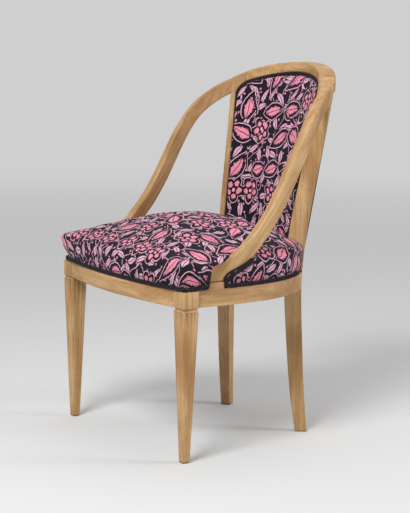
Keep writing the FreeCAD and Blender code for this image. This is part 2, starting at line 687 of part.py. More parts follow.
parts = {
    "front_left_leg": legs[0],
    "front_right_leg": legs[1],
    "rear_left_post": posts[0],
    "rear_right_post": posts[1],
    "front_rail": front,
    "left_side_rail": rails[0],
    "right_side_rail": rails[1],
    "rear_rail": rear,
    "crest_rail": crest,
    "lower_back_rail": lower,
    "left_arm": one_solid(arms[0]),
    "right_arm": one_solid(arms[1]),
    "corner_block_screws": Part.makeCompound(screws),
    "arm_dowels": Part.makeCompound([peg for pair in arm_pegs for peg in pair]),
    "crest_dowels": Part.makeCompound([peg for pair in crest_pegs for peg in pair]),
    "seat_webbing_crosswise": Part.makeCompound(seat_webbing_crosswise),
    "seat_webbing_lengthwise": Part.makeCompound([webbing_lengthwise(x) for x in WEBBING_X]),
    "seat_hessian": seat_hessian,
    "seat_stuffing": seat_stuffing,
    "seat_cover": seat_cover,
    "seat_gimp": seat_gimp,
    "seat_dust_cover": one_solid(dust_cover),
    "back_webbing": Part.makeCompound(back_webbing),
    "back_hessian": back_hessian,
    "back_stuffing": back_stuffing,
    "back_cover": back_cover,
    "back_gimp": back_gimp,
    "outside_back_cover": outside_back_cover,
    "outside_back_gimp": outside_back_gimp,
}
for corner, block in blocks.items():
    parts[corner + "_corner_block"] = block

whole = Part.makeCompound(list(parts.values())).optimalBoundingBox(False, False)
middle_y = (whole.YMin + whole.YMax) / 2
print("width, depth and height", whole.XLength, whole.YLength, whole.ZLength)
print("moved along Y by", -middle_y)
os.makedirs("parts", exist_ok=True)
for name, shape in parts.items():
    shape.translate(Vector(0, -middle_y, 0))
    print(name, [round(solid.Volume) for solid in shape.Solids], shape.isValid())
    shape.exportStep("parts/" + name + ".step")
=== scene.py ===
import math
import bmesh
import bpy
from mathutils import Matrix, Vector
from mathutils.bvhtree import BVHTree


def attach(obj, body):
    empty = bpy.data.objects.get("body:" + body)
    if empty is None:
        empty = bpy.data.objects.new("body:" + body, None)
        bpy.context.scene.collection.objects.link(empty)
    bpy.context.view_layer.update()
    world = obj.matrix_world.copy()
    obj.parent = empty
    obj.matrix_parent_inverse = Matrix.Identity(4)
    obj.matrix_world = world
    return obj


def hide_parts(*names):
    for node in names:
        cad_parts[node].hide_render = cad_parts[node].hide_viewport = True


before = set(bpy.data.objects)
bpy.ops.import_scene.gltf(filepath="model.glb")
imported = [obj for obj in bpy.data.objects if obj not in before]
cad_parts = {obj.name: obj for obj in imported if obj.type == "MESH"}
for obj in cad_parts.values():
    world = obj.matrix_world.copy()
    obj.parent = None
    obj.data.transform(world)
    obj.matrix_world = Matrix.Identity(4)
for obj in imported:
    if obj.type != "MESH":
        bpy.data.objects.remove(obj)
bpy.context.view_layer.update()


# Front legs
# Square tapered beech legs with short flutes below the neck, mortised in the block for the rails.
# They are planed, then sanded by hand and waxed, so every arris is a little round.
LEG_ARRIS = 0.001
ARRIS_ANGLE = math.radians(28)
JOINT_SHARE = 0.15
JOINT_GAP = 0.0003
MERGE_GAP = 0.00002
BEECH_NODES = ["front_left_leg", "front_right_leg", "rear_left_post", "rear_right_post", "front_rail", "rear_rail",
               "left_side_rail", "right_side_rail", "crest_rail", "lower_back_rail", "left_arm", "right_arm"]


def linear(hex_colour):
    shares = [int(hex_colour[k:k + 2], 16) / 255 for k in (1, 3, 5)]
    return [s / 12.92 if s <= 0.04045 else ((s + 0.055) / 1.055) ** 2.4 for s in shares] + [1]


def add_node(material, kind, settings={}, inputs={}):
    node = material.node_tree.nodes.new("ShaderNode" + kind)
    for name, value in settings.items():
        setattr(node, name, value)
    for socket, value in inputs.items():
        if isinstance(value, bpy.types.NodeSocket):
            material.node_tree.links.new(value, node.inputs[socket])
        else:
            node.inputs[socket].default_value = value
    return node.outputs


def new_material(name):
    # A material with nothing but its output
    material = bpy.data.materials.new(name)
    material.use_nodes = True
    for node in list(material.node_tree.nodes):
        if node.type != "OUTPUT_MATERIAL":
            material.node_tree.nodes.remove(node)
    return material


def finish_material(material, shader):
    output = material.node_tree.nodes["Material Output"]
    material.node_tree.links.new(shader, output.inputs["Surface"])
    return material


def waxed_beech(name, turn):
    # Beech, planed, sanded and waxed: pale golden tan, faint growth bands along the grain, many short
    # darker rays and a dull sheen. The turn, in degrees, brings the grain of a piece onto X.
    # Bands are 11 mm wide. Rays are drawn 1.4 mm wide, because real ones of 0.3 mm would not show.
    material = new_material(name)
    place = add_node(material, "TexCoord")["Object"]
    angles = [math.radians(a) for a in turn]
    grain = add_node(material, "Mapping", {}, {"Vector": place, "Rotation": angles})[0]
    noises = {}
    for kind, long, wide, detail in (("band", 0.35, 0.011, 3), ("streak", 0.12, 0.0028, 2),
                                     ("ray", 0.008, 0.0014, 1), ("pore", 0.03, 0.0008, 2),
                                     ("patch", 0.16, 0.06, 2)):
        scale = (1 / long, 1 / wide, 1 / wide)
        scaled = add_node(material, "VectorMath", {"operation": "MULTIPLY"}, {0: grain, 1: scale})[0]
        noises[kind] = add_node(material, "TexNoise", {}, {"Vector": scaled, "Scale": 1, "Detail": detail})[0]
    colour = linear("#CBA677")
    for kind, low, high, most, tint in (("band", 0.42, 0.66, 0.8, "#AC8049"),
                                        ("patch", 0.44, 0.68, 0.75, "#976A36"),
                                        ("streak", 0.52, 0.7, 0.55, "#8F6432"),
                                        ("ray", 0.6, 0.72, 0.4, "#7A5528"),
                                        ("pore", 0.52, 0.7, 0.35, "#8C6231")):
        share = add_node(material, "MapRange", {}, {"Value": noises[kind], "From Min": low, "From Max": high,
                                                    "To Max": most})[0]
        colour = add_node(material, "Mix", {"data_type": "RGBA"},
                          {"Factor": share, "A": colour, "B": linear(tint)})["Result"]
    # Painted shade, with old wax and dust, darkens the flutes, the joints and the wood beside the braid, to 5 mm
    # from the corner
    corner = add_node(material, "AmbientOcclusion", {"samples": 6}, {"Distance": 0.005})["AO"]
    dust_and_painted_shade = add_node(material, "MapRange", {}, {"Value": corner, "From Min": 0.45, "From Max": 0.97, "To Min": 0.85,
                                               "To Max": 0})[0]
    colour = add_node(material, "Mix", {"data_type": "RGBA"},
                      {"Factor": dust_and_painted_shade, "A": colour, "B": linear("#4A3118")})["Result"]
    rough = add_node(material, "MapRange", {}, {"Value": noises["band"], "To Min": 0.62, "To Max": 0.46})[0]
    bump = add_node(material, "Bump", {}, {"Height": noises["pore"], "Strength": 0.12, "Distance": 0.0004})[0]
    shader = add_node(material, "BsdfPrincipled", {}, {"Base Color": colour, "Roughness": rough, "Normal": bump,
                                                       "IOR": 1.48})[0]
    return finish_material(material, shader)


beech_faces = {}
for node in BEECH_NODES:
    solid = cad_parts[node].data
    corners = [v.co for v in solid.vertices]
    beech_faces[node] = BVHTree.FromPolygons(corners, [f.vertices[:] for f in solid.polygons])


def merged_copy(name, node, flat):
    # A piece as the frame has it, with one face where its triangles lie flat to so many degrees
    bpy.ops.object.select_all(action="DESELECT")
    piece = bpy.data.objects.new(name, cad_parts[node].data.copy())
    bpy.context.collection.objects.link(piece)
    bpy.context.view_layer.objects.active = piece
    piece.select_set(True)
    bpy.ops.object.mode_set(mode="EDIT")
    bpy.ops.mesh.select_all(action="SELECT")
    bpy.ops.mesh.remove_doubles(threshold=MERGE_GAP)
    bpy.ops.mesh.dissolve_limited(angle_limit=math.radians(flat))
    bpy.ops.object.mode_set(mode="OBJECT")
    return piece


def eased(node, arris, material):
    # A beech piece cut as the frame has it. Its free arrises are rounded with sandpaper, but not beside a
    # narrow face such as a flute's, and an arris against another piece keeps a hair line, as a glued joint does.
    piece = merged_copy("beech_" + node, node, 0.5)
    others = [beech_faces[n] for n in BEECH_NODES if n != node]
    shape = bmesh.new()
    shape.from_mesh(piece.data)
    weight = shape.edges.layers.float.new("bevel_weight_edge")
    for edge in shape.edges:
        if edge.calc_face_angle(0) < ARRIS_ANGLE:
            continue
        middle = (edge.verts[0].co + edge.verts[1].co) / 2
        gaps = [other.find_nearest(middle)[3] for other in others]
        narrow = min(face.calc_area() for face in edge.link_faces) / edge.calc_length()
        if edge.is_convex and narrow > 3 * arris:
            edge[weight] = JOINT_SHARE if min(gaps) < JOINT_GAP else 1
    shape.to_mesh(piece.data)
    shape.free()
    bevel = piece.modifiers.new("arris", "BEVEL")
    bevel.width = arris
    bevel.segments = 3
    bevel.limit_method = "WEIGHT"
    bpy.ops.object.modifier_apply(modifier="arris")
    bpy.ops.object.shade_smooth_by_angle(angle=ARRIS_ANGLE)
    piece.data.materials.clear()
    piece.data.materials.append(material)
    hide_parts(node)
    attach(piece, "root")


upright_beech = waxed_beech("waxed_beech_upright", (0, 90, 0))
for side in ("left", "right"):
    eased("front_" + side + "_leg", LEG_ARRIS, upright_beech)


# Seat rails
# Bowed beech boards sawn to the curve of the seat, with a rebate along the top for the covering.
# Their ends are tenoned into the legs and the rear posts.
RAIL_ARRIS = 0.001

crosswise_beech = waxed_beech("waxed_beech_crosswise", (0, 0, 0))
lengthwise_beech = waxed_beech("waxed_beech_lengthwise", (0, 0, 90))
for node in ("front_rail", "rear_rail"):
    eased(node, RAIL_ARRIS, crosswise_beech)
for side in ("left", "right"):
    eased(side + "_side_rail", RAIL_ARRIS, lengthwise_beech)


# Rear posts, crest rail and arms
# Each post is one beech board, a sabre leg below the seat and a raked stile above it. The arched crest and
# the swept arms are sawn, dowelled to the stile heads and glued. The heads are then dressed with a rasp,
# so that the three run into each other, and every arris is rounded with a spokeshave.
arm_beech = waxed_beech("waxed_beech_arm", (-52, 0, 90))
DRESSED = {"rear_left_post": upright_beech, "rear_right_post": upright_beech, "crest_rail": crosswise_beech,
           "left_arm": arm_beech, "right_arm": arm_beech}
HEAD = Vector((0.160, 0.194, 0.773))
HEAD_REACH = 0.068
HEAD_FULL = 0.034
HEAD_FACE = Vector((0.809, -0.588, 0.02))
HEAD_JOINTS = ((0.1774, 0.1741, 0.7693), (0.1462, 0.1943, 0.7692))
JOINT_LOW = 0.7505
JOINT_REACH = 0.034
SHAVING = 0.0016
GLUE_LAP = 0.0003

bpy.ops.object.select_all(action="DESELECT")
for node in DRESSED:
    board = bpy.data.objects.new(node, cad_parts[node].data.copy())
    bpy.context.collection.objects.link(board)
    board.select_set(True)
    bpy.context.view_layer.objects.active = board
bpy.ops.object.join()
glued = bpy.context.view_layer.objects.active
bpy.ops.object.mode_set(mode="EDIT")
bpy.ops.mesh.select_all(action="SELECT")
bpy.ops.mesh.remove_doubles(threshold=MERGE_GAP)
bpy.ops.object.mode_set(mode="OBJECT")
sawn = bpy.data.objects.new("sawn_boards", glued.data.copy())
bpy.context.collection.objects.link(sawn)
# The boards swell by a hair, so that they are one body when shaved, and are then planed back to the sawn faces
lap = glued.modifiers.new("lap", "DISPLACE")
lap.strength = GLUE_LAP
lap.mid_level = 0
bpy.ops.object.modifier_apply(modifier="lap")
shave = glued.modifiers.new("shave", "REMESH")
shave.mode = "VOXEL"
shave.voxel_size = SHAVING
bpy.ops.object.modifier_apply(modifier="shave")
heads = glued.vertex_groups.new(name="heads")
for vertex in glued.data.vertices:
    away = (Vector((abs(vertex.co.x), vertex.co.y, vertex.co.z)) - HEAD).length
    if away < HEAD_REACH:
        heads.add([vertex.index], min(1, (HEAD_REACH - away) / (HEAD_REACH - HEAD_FULL)), "REPLACE")
planed = glued.modifiers.new("planed", "SHRINKWRAP")
planed.wrap_method = "NEAREST_SURFACEPOINT"
planed.target = sawn
planed.vertex_group = "heads"
planed.invert_vertex_group = True
bpy.ops.object.modifier_apply(modifier="planed")
for name, times, group in (("spokeshave", 9, ""), ("rasp", 42, "heads")):
    smooth = glued.modifiers.new(name, "SMOOTH")
    smooth.factor = 0.5
    smooth.iterations = times
    smooth.vertex_group = group
    bpy.ops.object.modifier_apply(modifier=name)

# The dressed body is cut at the joints again, and each face goes to the board that it lies nearest to
whole = bmesh.new()
whole.from_mesh(glued.data)
for side in (-1, 1):
    for joint in HEAD_JOINTS:
        place = Vector((side * joint[0], joint[1], joint[2]))
        faces = [f for f in whole.faces if f.calc_center_median().z > JOINT_LOW
                 and (f.calc_center_median() - place).length < JOINT_REACH]
        rim = {v for f in faces for v in f.verts} | {e for f in faces for e in f.edges}
        bmesh.ops.bisect_plane(whole, geom=faces + list(rim), dist=0.00001, plane_co=place,
                               plane_no=(side * HEAD_FACE.x, HEAD_FACE.y, HEAD_FACE.z))
whole.to_mesh(glued.data)
whole.free()
owners = []
for face in glued.data.polygons:
    gaps = [beech_faces[node].find_nearest(face.center)[3] for node in DRESSED]
    owners.append(gaps.index(min(gaps)))
for number, (node, material) in enumerate(DRESSED.items()):
    piece = bpy.data.objects.new("beech_" + node, glued.data.copy())
    bpy.context.collection.objects.link(piece)
    shape = bmesh.new()
    shape.from_mesh(piece.data)
    shape.faces.ensure_lookup_table()
    others = [shape.faces[k] for k, owner in enumerate(owners) if owner != number]
    bmesh.ops.delete(shape, geom=others, context="FACES")
    bmesh.ops.holes_fill(shape, edges=[e for e in shape.edges if e.is_boundary], sides=0)
    bmesh.ops.recalc_face_normals(shape, faces=shape.faces)
    shape.to_mesh(piece.data)
    shape.free()
    bpy.ops.object.select_all(action="DESELECT")
    piece.select_set(True)
    bpy.context.view_layer.objects.active = piece
    bpy.ops.object.shade_smooth_by_angle(angle=math.radians(50))
    piece.data.materials.clear()
    piece.data.materials.append(material)
    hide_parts(node)
    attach(piece, "root")
bpy.data.objects.remove(glued)
bpy.data.objects.remove(sawn)


# Lower back rail
# A curved beech rail behind the seat, tenoned between the posts, out of sight under the covers.
# The bottom of the back upholstery is tacked to it.
eased("lower_back_rail", RAIL_ARRIS, crosswise_beech)


# Dowels, corner blocks and their screws
# Turned beech dowels hold the arms and the crest, and are hidden in their bores.
# Glued beech blocks brace the corners of the seat frame, with two steel screws in each.
def dress(node, material):
    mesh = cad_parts[node].data
    mesh.materials.clear()
    mesh.materials.append(material)


def bright_steel():
    # Steel wood screws, turned and polished bright: grey, with fine rings of wear 2 mm apart
    material = new_material("bright_steel")
    place = add_node(material, "TexCoord")["Object"]
    wear = add_node(material, "TexNoise", {}, {"Vector": place, "Scale": 1 / 0.002, "Detail": 3})[0]
    rough = add_node(material, "MapRange", {}, {"Value": wear, "To Min": 0.25, "To Max": 0.5})[0]
    shader = add_node(material, "BsdfPrincipled", {}, {"Base Color": linear("#9A9894"), "Metallic": 1,
                                                       "Roughness": rough})[0]
    return finish_material(material, shader)


for node in ("arm_dowels", "crest_dowels"):
    dress(node, upright_beech)
for corner in ("front_left", "front_right", "rear_left", "rear_right"):
    dress(corner + "_corner_block", crosswise_beech)
dress("corner_block_screws", bright_steel())


# Webbing of the seat and the back
# Jute webbing 50 mm wide, woven in herringbone with two dark stripes, stretched and tacked to the rails.
# The strips of the seat cross each other, and the cover hides all of them.
def jute(name, thread, light, dark):
    # Jute yarn in plain weave, straw brown and dull. Threads are spaced as the cloth's own.
    material = new_material(name)
    place = add_node(material, "TexCoord")["Object"]
    threads = []
    for axis in ("X", "Y"):
        wave = {"Vector": place, "Scale": math.pi / 10 / thread, "Distortion": 0.6}
        threads.append(add_node(material, "TexWave", {"bands_direction": axis}, wave)["Fac"])
    weave = add_node(material, "Math", {"operation": "MULTIPLY"}, {0: threads[0], 1: threads[1]})[0]
    colour = add_node(material, "Mix", {"data_type": "RGBA"},
                      {"Factor": weave, "A": linear(dark), "B": linear(light)})["Result"]
    bump = add_node(material, "Bump", {}, {"Height": weave, "Strength": 0.5, "Distance": thread / 3})[0]
    shader = add_node(material, "BsdfPrincipled", {}, {"Base Color": colour, "Roughness": 0.9, "Normal": bump})[0]
    return finish_material(material, shader)


jute_webbing = jute("jute_webbing", 0.0016, "#B79A6B", "#6E5536")


def strap(node):
    # Webbing as it lies, with its woven edges a little round
    piece = merged_copy("jute_" + node, node, 1)
    edge = piece.modifiers.new("selvedge", "BEVEL")
    edge.width = 0.0005
    edge.segments = 2
    bpy.ops.object.modifier_apply(modifier="selvedge")
    bpy.ops.object.shade_smooth_by_angle(angle=math.radians(40))
    piece.data.materials.clear()
    piece.data.materials.append(jute_webbing)
    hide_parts(node)
    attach(piece, "root")


for node in ("seat_webbing_crosswise", "seat_webbing_lengthwise", "back_webbing"):
    strap(node)


# Seat pad
# A stuffed seat over webbing and hessian: curled hair and wadding under one piece of printed cotton,
# which is pulled down over the front corners, cut round the arms and tacked into the rebate of the rails.
SEAT_MIDDLE = Vector((0, -0.055))
SEAT_ARCS = [((0, -0.266), (0.123, -0.2603), (0.243, -0.243)),
             ((0.243, -0.243), (0.2485, -0.239), (0.251, -0.231)),
             ((0.251, -0.231), (0.2515, -0.13), (0.246, -0.045)),
             ((0.246, -0.045), (0.216, 0.06), (0.156, 0.135)),
             ((0.156, 0.135), (0.079, 0.1683), (0, 0.179))]
SEAT_PROFILE = [(0.370, 0.984), (0.381, 0.985), (0.389, 0.998), (0.401, 1.011), (0.415, 1.017), (0.4245, 1.015),
                (0.4305, 0.993), (0.4365, 0.935), (0.445, 0.85), (0.4591, 0.70), (0.4749, 0.50), (0.4872, 0.30),
                (0.4953, 0.10)]
SEAT_CROWN = 0.497
SEAT_CORNER = Vector((0.2455, -0.240))
CORNER_SHARE = 0.030
CORNER_REACH = 0.05
CORNER_LOW, CORNER_RISE = 0.384, 0.04
CORNER_INNER, CORNER_FADE = 0.6, 0.38
SEAT_SPOKES = 240
SEAT_SWELL = 0.003
ARM_FRONT = -0.179
ARM_BACK = -0.141
ARM_INNER = 0.2268
NOTCH_OUTER = 0.3
TACK_LEVEL = 0.383
ARM_TACKS_INNER = 0.215
ARM_TACKS_FRONT, ARM_TACKS_BACK = -0.2, -0.06
ARM_TACKS_TOP = 0.43


def arc_points(start, through, end, count):
    # Points along the arc through three points, without its end
    a, b, c = (Vector(p) for p in (start, through, end))
    ab, ac = b - a, c - a
    twice = 2 * ab.cross(ac)
    centre = a + Vector((ac.y * ab.length_squared - ab.y * ac.length_squared,
                         ab.x * ac.length_squared - ac.x * ab.length_squared)) / twice
    first, last = a - centre, c - centre
    sweep = math.atan2(first.cross(last), first.dot(last))
    points = []
    for k in range(count):
        turn = Matrix.Rotation(sweep * k / count, 2)
        points.append(centre + turn @ first)
    return points


def spaced(points, count, closed):
    # Points at even steps along a line through points
    run = points + points[:1] if closed else points
    lengths = [0]
    for a, b in zip(run, run[1:]):
        lengths.append(lengths[-1] + (b - a).length)
    steps = count if closed else count - 1
    placed = []
    at = 0
    for k in range(count):
        target = lengths[-1] * k / steps
        while at < len(run) - 2 and lengths[at + 1] < target:
            at += 1
        share = (target - lengths[at]) / (lengths[at + 1] - lengths[at])
        placed.append(run[at].lerp(run[at + 1], share))
    return placed


half_outline = [p for arc in SEAT_ARCS for p in arc_points(*arc, 40)] + [Vector(SEAT_ARCS[-1][-1])]
other_half = [Vector((-p.x, p.y)) for p in half_outline[-2:0:-1]]
seat_outline = spaced(half_outline + other_half, SEAT_SPOKES, True)


def cushion(name, rings, top, cloth_rings, cloth_top, base=True):
    # Mesh through rings of points up to a top point, with the flat cloth's metres as its UV map
    count = len(rings[0])
    vertices = [p for ring in rings for p in ring] + [top]
    flat = [p for ring in cloth_rings for p in ring] + [cloth_top]
    faces = [tuple(range(count - 1, -1, -1))] if base else []
    for level in range(len(rings) - 1):
        for k in range(count):
            a, b = level * count + k, level * count + (k + 1) % count
            faces.append((a, b, b + count, a + count))
    last = (len(rings) - 1) * count
    for k in range(count):
        faces.append((last + k, last + (k + 1) % count, len(vertices) - 1))
    mesh = bpy.data.meshes.new(name)
    mesh.from_pydata([tuple(v) for v in vertices], [], faces)
    cloth = mesh.uv_layers.new(name="cloth")
    for loop in mesh.loops:
        cloth.data[loop.index].uv = flat[loop.vertex_index]
    piece = bpy.data.objects.new(name, mesh)
    bpy.context.collection.objects.link(piece)
    bpy.ops.object.select_all(action="DESELECT")
    piece.select_set(True)
    bpy.context.view_layer.objects.active = piece
    return piece


def fair(points, steps):
    # Points along a smooth curve through a few, with so many steps between each two
    ends = [points[0]] + points + [points[-1]]
    drawn = []
    for a, b, c, d in zip(ends, ends[1:], ends[2:], ends[3:]):
        for k in range(steps):
            t = k / steps
            drawn.append(tuple(q + (r - p) * t / 2 + (2 * p - 5 * q + 4 * r - s) * t ** 2 / 2
                               + (3 * q - p - 3 * r + s) * t ** 3 / 2 for p, q, r, s in zip(a, b, c, d)))
    return drawn + [points[-1]]


def stuffed(piece, tacked, most):
    # The cloth pulls tight over its stuffing; the tacked points stay, and no point moves further than most
    group = piece.vertex_groups.new(name="tacked")
    group.add(tacked, 1, "REPLACE")
    cloth = piece.modifiers.new("stuffing", "CLOTH")
    cloth.settings.quality = 6
    cloth.settings.mass = 0.3
    cloth.settings.tension_stiffness = 12
    cloth.settings.compression_stiffness = 12
    cloth.settings.bending_stiffness = 0.4
    cloth.settings.vertex_group_mass = "tacked"
    cloth.settings.use_pressure = True
    cloth.settings.uniform_pressure_force = 4
    cloth.settings.effector_weights.gravity = 0
    for step in range(1, 21):
        bpy.context.scene.frame_set(step)
    shaped = piece.evaluated_get(bpy.context.evaluated_depsgraph_get())
    places = [v.co.copy() for v in shaped.data.vertices]
    piece.modifiers.remove(cloth)
    for vertex, place in zip(piece.data.vertices, places):
        moved = place - vertex.co
        if moved.length > most:
            moved *= most / moved.length
        vertex.co += moved
    bpy.context.scene.frame_set(1)


def seat_place(p, z, share):
    # Place on the cover above a point of the outline. The front corners stand out, most at the shoulder.
    near = math.exp(-((Vector((abs(p.x), p.y)) - SEAT_CORNER).length / CORNER_REACH) ** 2)
    rise = min(1, max(0, (z - CORNER_LOW) / CORNER_RISE))
    fade = min(1, max(0, (share - CORNER_INNER) / CORNER_FADE))
    return Vector((*(SEAT_MIDDLE + (p - SEAT_MIDDLE) * (share + CORNER_SHARE * near * rise * fade)), z))


seat_rings = [[seat_place(p, z, share) for p in seat_outline] for z, share in fair(SEAT_PROFILE, 4)]
seat_cloth = []
for level, ring in enumerate(seat_rings):
    flat = []
    for k, p in enumerate(seat_outline):
        spoke = [r[k] for r in seat_rings[level:]] + [Vector((*SEAT_MIDDLE, SEAT_CROWN))]
        run = sum((b - a).length for a, b in zip(spoke, spoke[1:]))
        flat.append((p - SEAT_MIDDLE).normalized() * run)
    seat_cloth.append(flat)
seat_pad = cushion("seat_pad", seat_rings, (*SEAT_MIDDLE, SEAT_CROWN), seat_cloth, Vector((0, 0)))
tacked = []
for v in seat_pad.data.vertices:
    beside_arm = (abs(v.co.x) > ARM_TACKS_INNER and ARM_TACKS_FRONT < v.co.y < ARM_TACKS_BACK
                  and v.co.z < ARM_TACKS_TOP)
    if v.co.z < TACK_LEVEL or beside_arm:
        tacked.append(v.index)
stuffed(seat_pad, tacked, SEAT_SWELL)

# The cover is cut back from the outer face of each arm's foot
FOOT_SIDE = [(ARM_FRONT, 0.34), (ARM_BACK, 0.34), (ARM_BACK, 0.385), (-0.139, 0.391), (-0.135, 0.3965),
             (-0.128, 0.402), (-0.113, 0.408), (-0.084, 0.4195), (-0.057, 0.440), (-0.030, 0.466), (-0.048, 0.492),
             (-0.075, 0.4665), (-0.102, 0.4455), (-0.125, 0.434), (-0.147, 0.4275), (-0.165, 0.4235),
             (-0.1765, 0.418), (ARM_FRONT, 0.402)]
for sign in (-1, 1):
    inner = [(sign * ARM_INNER, y, z) for y, z in FOOT_SIDE]
    outer = [(sign * NOTCH_OUTER, y, z) for y, z in FOOT_SIDE]
    count = len(FOOT_SIDE)
    faces = [tuple(range(count)), tuple(range(2 * count - 1, count - 1, -1))]
    faces += [((k + 1) % count, k, count + k, count + (k + 1) % count) for k in range(count)]
    cutter_mesh = bpy.data.meshes.new("notch")
    cutter_mesh.from_pydata(inner + outer, [], faces)
    cutter = bpy.data.objects.new("notch", cutter_mesh)
    bpy.context.collection.objects.link(cutter)
    bpy.ops.object.select_all(action="DESELECT")
    cutter.select_set(True)
    bpy.context.view_layer.objects.active = cutter
    bpy.ops.object.mode_set(mode="EDIT")
    bpy.ops.mesh.select_all(action="SELECT")
    bpy.ops.mesh.normals_make_consistent(inside=False)
    bpy.ops.object.mode_set(mode="OBJECT")
    bpy.ops.object.select_all(action="DESELECT")
    seat_pad.select_set(True)
    bpy.context.view_layer.objects.active = seat_pad
    cut = seat_pad.modifiers.new("notch", "BOOLEAN")
    cut.object = cutter
    cut.operation = "DIFFERENCE"
    cut.solver = "EXACT"
    bpy.ops.object.modifier_apply(modifier="notch")
    bpy.data.objects.remove(cutter)
bpy.ops.object.shade_smooth_by_angle(angle=math.radians(50))


def printed_cotton():
    # Cotton cloth, plain woven and block printed: a near-black navy ground with leaves and five-petalled
    # blossoms in pink, ringed by mauve lines, over small mauve leaves, dots and curling stems.
    # The UV map holds metres of flat cloth. Threads of 0.4 mm are drawn 1.1 mm apart, so that they show.
    material = new_material("printed_cotton")
    ground, pink, mauve = linear("#17131E"), linear("#EA90A6"), linear("#E0AEC4")
    cloth = add_node(material, "UVMap", {"uv_map": "cloth"})[0]
    hand = add_node(material, "TexNoise", {"noise_dimensions": "2D"},
                    {"Vector": cloth, "Scale": 1 / 0.03, "Detail": 3})["Color"]
    hand = add_node(material, "VectorMath", {"operation": "SUBTRACT"}, {0: hand, 1: (0.5, 0.5, 0.5)})[0]
    drawn = add_node(material, "VectorMath", {"operation": "MULTIPLY_ADD"},
                     {0: hand, 1: (0.009, 0.009, 0), 2: cloth})[0]

    def motif(spacing, shift):
        # Offset from the middle of the nearest motif, turned its own way, and its random numbers
        moved = add_node(material, "VectorMath", {"operation": "ADD"}, {0: drawn, 1: (shift, shift / 2, 0)})[0]
        cells = add_node(material, "TexVoronoi", {"voronoi_dimensions": "2D"},
                         {"Vector": moved, "Scale": 1 / spacing, "Randomness": 0.45})
        offset = add_node(material, "VectorMath", {"operation": "SUBTRACT"}, {0: moved, 1: cells["Position"]})[0]
        chance = add_node(material, "SeparateColor", {}, {"Color": cells["Color"]})
        turn = add_node(material, "Math", {"operation": "MULTIPLY"}, {0: chance[0], 1: 2 * math.pi})[0]
        local = add_node(material, "VectorRotate", {"rotation_type": "Z_AXIS"},
                         {"Vector": offset, "Angle": turn})[0]
        axes = add_node(material, "SeparateXYZ", {}, {"Vector": local})
        reach = add_node(material, "VectorMath", {"operation": "LENGTH"}, {0: local})["Value"]
        return local, axes, reach, chance

    def leaf(axes, long, wide):
        # Distance across the edge of a pointed leaf, below 0 within it
        along = add_node(material, "Math", {"operation": "DIVIDE"}, {0: axes[0], 1: long})[0]
        curved = add_node(material, "Math", {"operation": "MULTIPLY"}, {0: along, 1: along})[0]
        point = add_node(material, "Math", {"operation": "MULTIPLY_ADD"}, {0: curved, 1: -wide, 2: wide})[0]
        plump = add_node(material, "Math", {"operation": "MULTIPLY_ADD"}, {0: along, 1: -0.35, 2: 1})[0]
        half = add_node(material, "Math", {"operation": "MULTIPLY"}, {0: point, 1: plump})[0]
        aside = add_node(material, "Math", {"operation": "ABSOLUTE"}, {0: axes[1]})[0]
        return add_node(material, "Math", {"operation": "SUBTRACT"}, {0: aside, 1: half})[0], aside

    # Curling stems run where a slow noise passes its middle value
    slow = add_node(material, "TexNoise", {"noise_dimensions": "2D"},
                    {"Vector": drawn, "Scale": 1 / 0.05, "Detail": 0})[0]
    dot_reach = motif(0.021, 0.4)[2]
    sprig_edge, sprig_aside = leaf(motif(0.034, 0.13)[1], 0.0195, 0.0066)
    # A cell holds a large leaf or a blossom of five petals
    local, axes, reach, chance = motif(0.072, 0.0)
    leaf_edge, leaf_aside = leaf(axes, 0.034, 0.0170)
    turn = add_node(material, "Math", {"operation": "ARCTAN2"}, {0: axes[1], 1: axes[0]})[0]
    fifths = add_node(material, "Math", {"operation": "MULTIPLY"}, {0: turn, 1: 2.5})[0]
    petals = add_node(material, "Math", {"operation": "COSINE"}, {0: fifths})[0]
    petals = add_node(material, "Math", {"operation": "ABSOLUTE"}, {0: petals})[0]
    petal_reach = add_node(material, "Math", {"operation": "MULTIPLY_ADD"}, {0: petals, 1: 0.0115, 2: 0.0165})[0]
    blossom_edge = add_node(material, "Math", {"operation": "SUBTRACT"}, {0: reach, 1: petal_reach})[0]
    blossom = add_node(material, "Math", {"operation": "GREATER_THAN"}, {0: chance[1], 1: 0.55})[0]
    edge = add_node(material, "Mix", {}, {"Factor": blossom, "A": leaf_edge, "B": blossom_edge})["Result"]
    hatch = add_node(material, "VectorMath", {"operation": "MULTIPLY"}, {0: local, 1: (420, 150, 0)})[0]
    hatch = add_node(material, "TexNoise", {"noise_dimensions": "2D"}, {"Vector": hatch, "Scale": 1})[0]
    ragged = add_node(material, "Math", {"operation": "MULTIPLY_ADD"}, {0: hatch, 1: 0.014, 2: edge})[0]
    eye = add_node(material, "Math", {"operation": "SUBTRACT"}, {0: 1, 1: blossom})[0]
    eye = add_node(material, "Math", {"operation": "ADD"}, {0: reach, 1: eye})[0]
    cleft = add_node(material, "Math", {"operation": "MULTIPLY"}, {0: petals, 1: reach})[0]
    cleft = add_node(material, "Math", {"operation": "ADD"}, {0: cleft, 1: eye})[0]
    rib = add_node(material, "Math", {"operation": "ADD"}, {0: leaf_aside, 1: blossom})[0]
    rib = add_node(material, "Math", {"operation": "MAXIMUM"}, {0: rib, 1: edge})[0]
